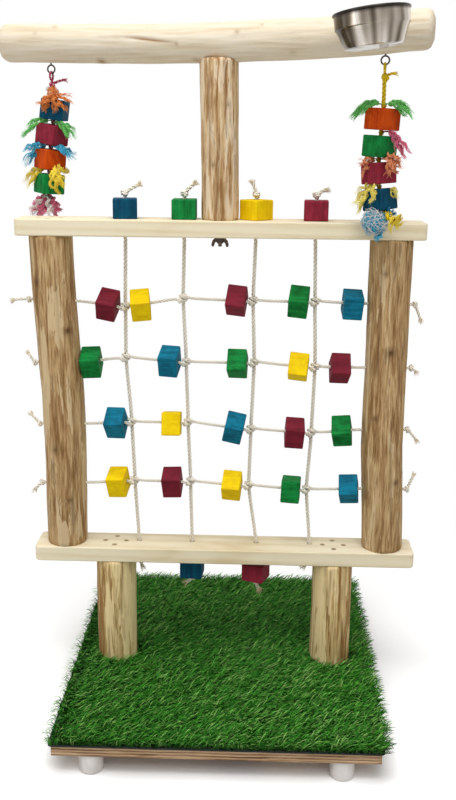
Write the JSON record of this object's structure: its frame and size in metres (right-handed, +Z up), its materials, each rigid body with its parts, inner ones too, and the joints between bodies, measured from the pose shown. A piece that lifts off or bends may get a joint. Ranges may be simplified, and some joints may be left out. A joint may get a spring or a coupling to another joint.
{
  "type": "parrot play stand",
  "caption": "Play stand for parrots: turfed base on feet, log and plank frame with a rope net of wooden blocks, a swivelling T perch with a steel bowl, and hanging toys.",
  "frame": {"origin": "on the floor, under the middle of the stand's footprint", "axes": "+Z up, front towards -Y, +X to the right seen from the front"},
  "size_m": [0.6858, 0.59, 1.1228],
  "materials": {
    "plywood": "sawn plies, dark face",
    "turf": "artificial grass",
    "white_plastic": "smooth",
    "steel": "plain",
    "zinc_steel": "dull zinc",
    "stainless": "polished",
    "leg_log": "peeled log",
    "bark_log": "peeled log with bark streaks",
    "perch_log": "peeled log",
    "pine": "planed",
    "rope": "three-strand cotton",
    "pink_cord": "twisted cord",
    "yellow_cord": "twisted cord",
    "blue_block": "dyed wood",
    "green_block": "dyed wood",
    "yellow_block": "dyed wood",
    "maroon_block": "dyed wood",
    "orange_block": "dyed wood"
  },
  "bodies": {
    "stand": {"base_board": "plywood", "turf_mat": "turf", "feet": "white_plastic", "foot_screws": "steel", "leg_left": "leg_log", "leg_right": "leg_log", "lower_plank": "pine", "upright_left": "bark_log", "upright_right": "bark_log", "upper_plank": "pine", "wood_screws": "steel", "vertical_ropes": "rope", "horizontal_ropes": "rope"},
    "play_arm": {"centre_post": "bark_log", "hanger_bolt": "zinc_steel", "perch": "perch_log", "perch_screw": "steel", "bowl_screw": "steel", "screw_eyes": "zinc_steel"},
    "washer": {"washer": "zinc_steel"},
    "wing_nut": {"wing_nut": "zinc_steel"},
    "bowl": {"bowl": "stainless"},
    "left_toy_loop": {"left_toy_loop": "pink_cord"},
    "left_toy": {"left_toy_cord": "pink_cord"},
    "right_toy_loop": {"right_toy_loop": "yellow_cord"},
    "right_toy": {"right_toy_cord": "yellow_cord"},
    "left_toy_block1_blue": {"left_toy_block1_blue": "blue_block"},
    "left_toy_block2_maroon": {"left_toy_block2_maroon": "maroon_block"},
    "left_toy_block3_orange": {"left_toy_block3_orange": "orange_block"},
    "left_toy_block4_green": {"left_toy_block4_green": "green_block"},
    "right_toy_block1_orange": {"right_toy_block1_orange": "orange_block"},
    "right_toy_block2_green": {"right_toy_block2_green": "green_block"},
    "right_toy_block3_maroon": {"right_toy_block3_maroon": "maroon_block"},
    "right_toy_block4_blue": {"right_toy_block4_blue": "blue_block"},
    "net_row1_block1_maroon": {"net_row1_block1_maroon": "maroon_block"},
    "net_row1_block2_yellow": {"net_row1_block2_yellow": "yellow_block"},
    "net_row1_block3_maroon": {"net_row1_block3_maroon": "maroon_block"},
    "net_row1_block4_green": {"net_row1_block4_green": "green_block"},
    "net_row1_block5_blue": {"net_row1_block5_blue": "blue_block"},
    "net_row2_block1_green": {"net_row2_block1_green": "green_block"},
    "net_row2_block2_blue": {"net_row2_block2_blue": "blue_block"},
    "net_row2_block3_green": {"net_row2_block3_green": "green_block"},
    "net_row2_block4_yellow": {"net_row2_block4_yellow": "yellow_block"},
    "net_row2_block5_maroon": {"net_row2_block5_maroon": "maroon_block"},
    "net_row3_block1_blue": {"net_row3_block1_blue": "blue_block"},
    "net_row3_block2_yellow": {"net_row3_block2_yellow": "yellow_block"},
    "net_row3_block3_blue": {"net_row3_block3_blue": "blue_block"},
    "net_row3_block4_maroon": {"net_row3_block4_maroon": "maroon_block"},
    "net_row3_block5_green": {"net_row3_block5_green": "green_block"},
    "net_row4_block1_yellow": {"net_row4_block1_yellow": "yellow_block"},
    "net_row4_block2_maroon": {"net_row4_block2_maroon": "maroon_block"},
    "net_row4_block3_yellow": {"net_row4_block3_yellow": "yellow_block"},
    "net_row4_block4_green": {"net_row4_block4_green": "green_block"},
    "net_row4_block5_blue": {"net_row4_block5_blue": "blue_block"},
    "top_block_blue": {"top_block_blue": "blue_block"},
    "top_block_green": {"top_block_green": "green_block"},
    "top_block_yellow": {"top_block_yellow": "yellow_block"},
    "top_block_maroon": {"top_block_maroon": "maroon_block"},
    "bottom_block_blue": {"bottom_block_blue": "blue_block"},
    "bottom_block_maroon": {"bottom_block_maroon": "maroon_block"}
  },
  "joints": [
    {"name": "arm_swivel", "type": "hinge", "parent": "stand", "child": "play_arm", "pos_m": [0.0086, -0.016, 0.792], "axis": [0, 0, 1], "continuous": true},
    {"name": "bowl_tilt", "type": "hinge", "parent": "play_arm", "child": "bowl", "pos_m": [0.22967, -0.09182, 1.09594], "axis": [0.2079, 0.9781, 0], "range_deg": [-30, 30]},
    {"name": "left_toy_fore_aft", "type": "hinge", "parent": "play_arm", "child": "left_toy_loop", "pos_m": [-0.26137, 0.04138, 1.03751], "axis": [0.9781, -0.2079, 0], "range_deg": [-30, 30]},
    {"name": "left_toy_sideways", "type": "hinge", "parent": "left_toy_loop", "child": "left_toy", "pos_m": [-0.26137, 0.04138, 1.02076], "axis": [0.2079, 0.9781, 0], "range_deg": [-30, 30]},
    {"name": "right_toy_fore_aft", "type": "hinge", "parent": "play_arm", "child": "right_toy_loop", "pos_m": [0.24825, -0.06694, 1.04667], "axis": [0.9781, -0.2079, 0], "range_deg": [-30, 30]},
    {"name": "right_toy_sideways", "type": "hinge", "parent": "right_toy_loop", "child": "right_toy", "pos_m": [0.24825, -0.06694, 1.02992], "axis": [0.2079, 0.9781, 0], "range_deg": [-30, 30]},
    {"name": "wing_nut_turn", "type": "hinge", "parent": "washer", "child": "wing_nut", "pos_m": [0.0086, -0.016, 0.79], "axis": [0, 0, -1], "range_deg": [0, 1080]},
    {"name": "washer_drop", "type": "slide", "parent": "play_arm", "child": "washer", "axis": [0, 0, -1], "range_m": [0, 0.0031]},
    {"name": "net_row1_block1_maroon_spin", "type": "hinge", "parent": "stand", "child": "net_row1_block1_maroon", "pos_m": [-0.17074, -0.01908, 0.68115], "axis": [0.9783, -0.1132, -0.1736], "continuous": true},
    {"name": "net_row1_block2_yellow_spin", "type": "hinge", "parent": "stand", "child": "net_row1_block2_yellow", "pos_m": [-0.11832, -0.01909, 0.6813], "axis": [0.9924, 0.0872, 0.0872], "continuous": true},
    {"name": "net_row1_block3_maroon_spin", "type": "hinge", "parent": "stand", "child": "net_row1_block3_maroon", "pos_m": [0.03607, -0.0191, 0.69067], "axis": [0.9888, -0.118, -0.0914], "continuous": true},
    {"name": "net_row1_block4_green_spin", "type": "hinge", "parent": "stand", "child": "net_row1_block4_green", "pos_m": [0.13518, -0.0191, 0.69024], "axis": [0.9903, -0.1085, -0.0872], "continuous": true},
    {"name": "net_row1_block5_blue_spin", "type": "hinge", "parent": "stand", "child": "net_row1_block5_blue", "pos_m": [0.2208, -0.0191, 0.68723], "axis": [0.998, 0.0349, -0.0523], "continuous": true},
    {"name": "net_row2_block1_green_spin", "type": "hinge", "parent": "stand", "child": "net_row2_block1_green", "pos_m": [-0.20025, -0.0191, 0.58576], "axis": [0.9985, -0.0175, 0.0523], "continuous": true},
    {"name": "net_row2_block2_blue_spin", "type": "hinge", "parent": "stand", "child": "net_row2_block2_blue", "pos_m": [-0.07222, -0.0191, 0.58957], "axis": [0.99, -0.1368, -0.0347], "continuous": true},
    {"name": "net_row2_block3_green_spin", "type": "hinge", "parent": "stand", "child": "net_row2_block3_green", "pos_m": [0.0386, -0.0191, 0.58748], "axis": [0.9962, -0.0872, 0], "continuous": true},
    {"name": "net_row2_block4_yellow_spin", "type": "hinge", "parent": "stand", "child": "net_row2_block4_yellow", "pos_m": [0.13789, -0.01909, 0.58385], "axis": [0.9907, -0.1045, -0.0872], "continuous": true},
    {"name": "net_row2_block5_maroon_spin", "type": "hinge", "parent": "stand", "child": "net_row2_block5_maroon", "pos_m": [0.20485, -0.0191, 0.58252], "axis": [0.998, 0.0523, -0.0349], "continuous": true},
    {"name": "net_row3_block1_blue_spin", "type": "hinge", "parent": "stand", "child": "net_row3_block1_blue", "pos_m": [-0.16189, -0.0191, 0.48339], "axis": [0.9908, -0.1331, 0.0237], "continuous": true},
    {"name": "net_row3_block2_yellow_spin", "type": "hinge", "parent": "stand", "child": "net_row3_block2_yellow", "pos_m": [-0.0693, -0.0191, 0.48403], "axis": [1, 0, 0], "continuous": true},
    {"name": "net_row3_block3_blue_spin", "type": "hinge", "parent": "stand", "child": "net_row3_block3_blue", "pos_m": [0.03449, -0.0191, 0.47863], "axis": [0.9775, -0.0349, -0.2079], "continuous": true},
    {"name": "net_row3_block4_maroon_spin", "type": "hinge", "parent": "stand", "child": "net_row3_block4_maroon", "pos_m": [0.13418, -0.0191, 0.47162], "axis": [0.998, 0.0175, -0.061], "continuous": true},
    {"name": "net_row3_block5_green_spin", "type": "hinge", "parent": "stand", "child": "net_row3_block5_green", "pos_m": [0.21228, -0.01911, 0.47654], "axis": [0.9849, -0.1389, 0.1037], "continuous": true},
    {"name": "net_row4_block1_yellow_spin", "type": "hinge", "parent": "stand", "child": "net_row4_block1_yellow", "pos_m": [-0.16014, -0.01911, 0.37964], "axis": [0.9878, -0.1392, 0.0702], "continuous": true},
    {"name": "net_row4_block2_maroon_spin", "type": "hinge", "parent": "stand", "child": "net_row4_block2_maroon", "pos_m": [-0.06883, -0.0191, 0.38111], "axis": [0.9973, -0.0523, 0.0523], "continuous": true},
    {"name": "net_row4_block3_yellow_spin", "type": "hinge", "parent": "stand", "child": "net_row4_block3_yellow", "pos_m": [0.03171, -0.01909, 0.37725], "axis": [0.9931, -0.1045, -0.0523], "continuous": true},
    {"name": "net_row4_block4_green_spin", "type": "hinge", "parent": "stand", "child": "net_row4_block4_green", "pos_m": [0.13075, -0.01909, 0.3723], "axis": [0.9948, -0.0958, -0.0349], "continuous": true},
    {"name": "net_row4_block5_blue_spin", "type": "hinge", "parent": "stand", "child": "net_row4_block5_blue", "pos_m": [0.22764, -0.01911, 0.37508], "axis": [0.9877, -0.1339, 0.0809], "continuous": true},
    {"name": "top_block_blue_spin", "type": "hinge", "parent": "stand", "child": "top_block_blue", "pos_m": [-0.1414, -0.0129, 0.8337], "axis": [0, 0, 1], "continuous": true},
    {"name": "top_block_green_spin", "type": "hinge", "parent": "stand", "child": "top_block_green", "pos_m": [-0.0479, -0.0129, 0.8337], "axis": [0, 0, 1], "continuous": true},
    {"name": "top_block_yellow_spin", "type": "hinge", "parent": "stand", "child": "top_block_yellow", "pos_m": [0.0651, -0.0129, 0.8337], "axis": [0, 0, 1], "continuous": true},
    {"name": "top_block_maroon_spin", "type": "hinge", "parent": "stand", "child": "top_block_maroon", "pos_m": [0.1586, -0.0129, 0.8337], "axis": [0, 0, 1], "continuous": true},
    {"name": "bottom_block_blue_spin", "type": "hinge", "parent": "stand", "child": "bottom_block_blue", "pos_m": [-0.0356, -0.0129, 0.2255], "axis": [0, 0, 1], "continuous": true},
    {"name": "bottom_block_maroon_spin", "type": "hinge", "parent": "stand", "child": "bottom_block_maroon", "pos_m": [0.0744, -0.0129, 0.2205], "axis": [0, 0, 1], "continuous": true},
    {"name": "left_toy_block1_blue_spin", "type": "hinge", "parent": "left_toy", "child": "left_toy_block1_blue", "pos_m": [-0.25797, 0.04066, 0.98266], "axis": [0.153, -0.0325, 0.9877], "continuous": true},
    {"name": "left_toy_block2_maroon_spin", "type": "hinge", "parent": "left_toy", "child": "left_toy_block2_maroon", "pos_m": [-0.26372, 0.04188, 0.94445], "axis": [0.1446, -0.0307, 0.989], "continuous": true},
    {"name": "left_toy_block3_orange_spin", "type": "hinge", "parent": "left_toy", "child": "left_toy_block3_orange", "pos_m": [-0.26849, 0.0429, 0.9061], "axis": [0.1022, -0.0217, 0.9945], "continuous": true},
    {"name": "left_toy_block4_green_spin", "type": "hinge", "parent": "left_toy", "child": "left_toy_block4_green", "pos_m": [-0.27179, 0.0436, 0.86759], "axis": [0.0682, -0.0145, 0.9976], "continuous": true},
    {"name": "right_toy_block1_orange_spin", "type": "hinge", "parent": "right_toy", "child": "right_toy_block1_orange", "pos_m": [0.24823, -0.06694, 0.97061], "axis": [0.0512, -0.0109, 0.9986], "continuous": true},
    {"name": "right_toy_block2_green_spin", "type": "hinge", "parent": "right_toy", "child": "right_toy_block2_green", "pos_m": [0.24626, -0.06652, 0.932], "axis": [0.0512, -0.0109, 0.9986], "continuous": true},
    {"name": "right_toy_block3_maroon_spin", "type": "hinge", "parent": "right_toy", "child": "right_toy_block3_maroon", "pos_m": [0.24658, -0.06659, 0.89341], "axis": [-0.0682, 0.0145, 0.9976], "continuous": true},
    {"name": "right_toy_block4_blue_spin", "type": "hinge", "parent": "right_toy", "child": "right_toy_block4_blue", "pos_m": [0.24988, -0.06729, 0.85489], "axis": [-0.1022, 0.0217, 0.9945], "continuous": true}
  ],
  "couplings": [
    {"joint": "washer_drop", "follows": "wing_nut_turn", "m_per_rad": 0.00015915}
  ]
}
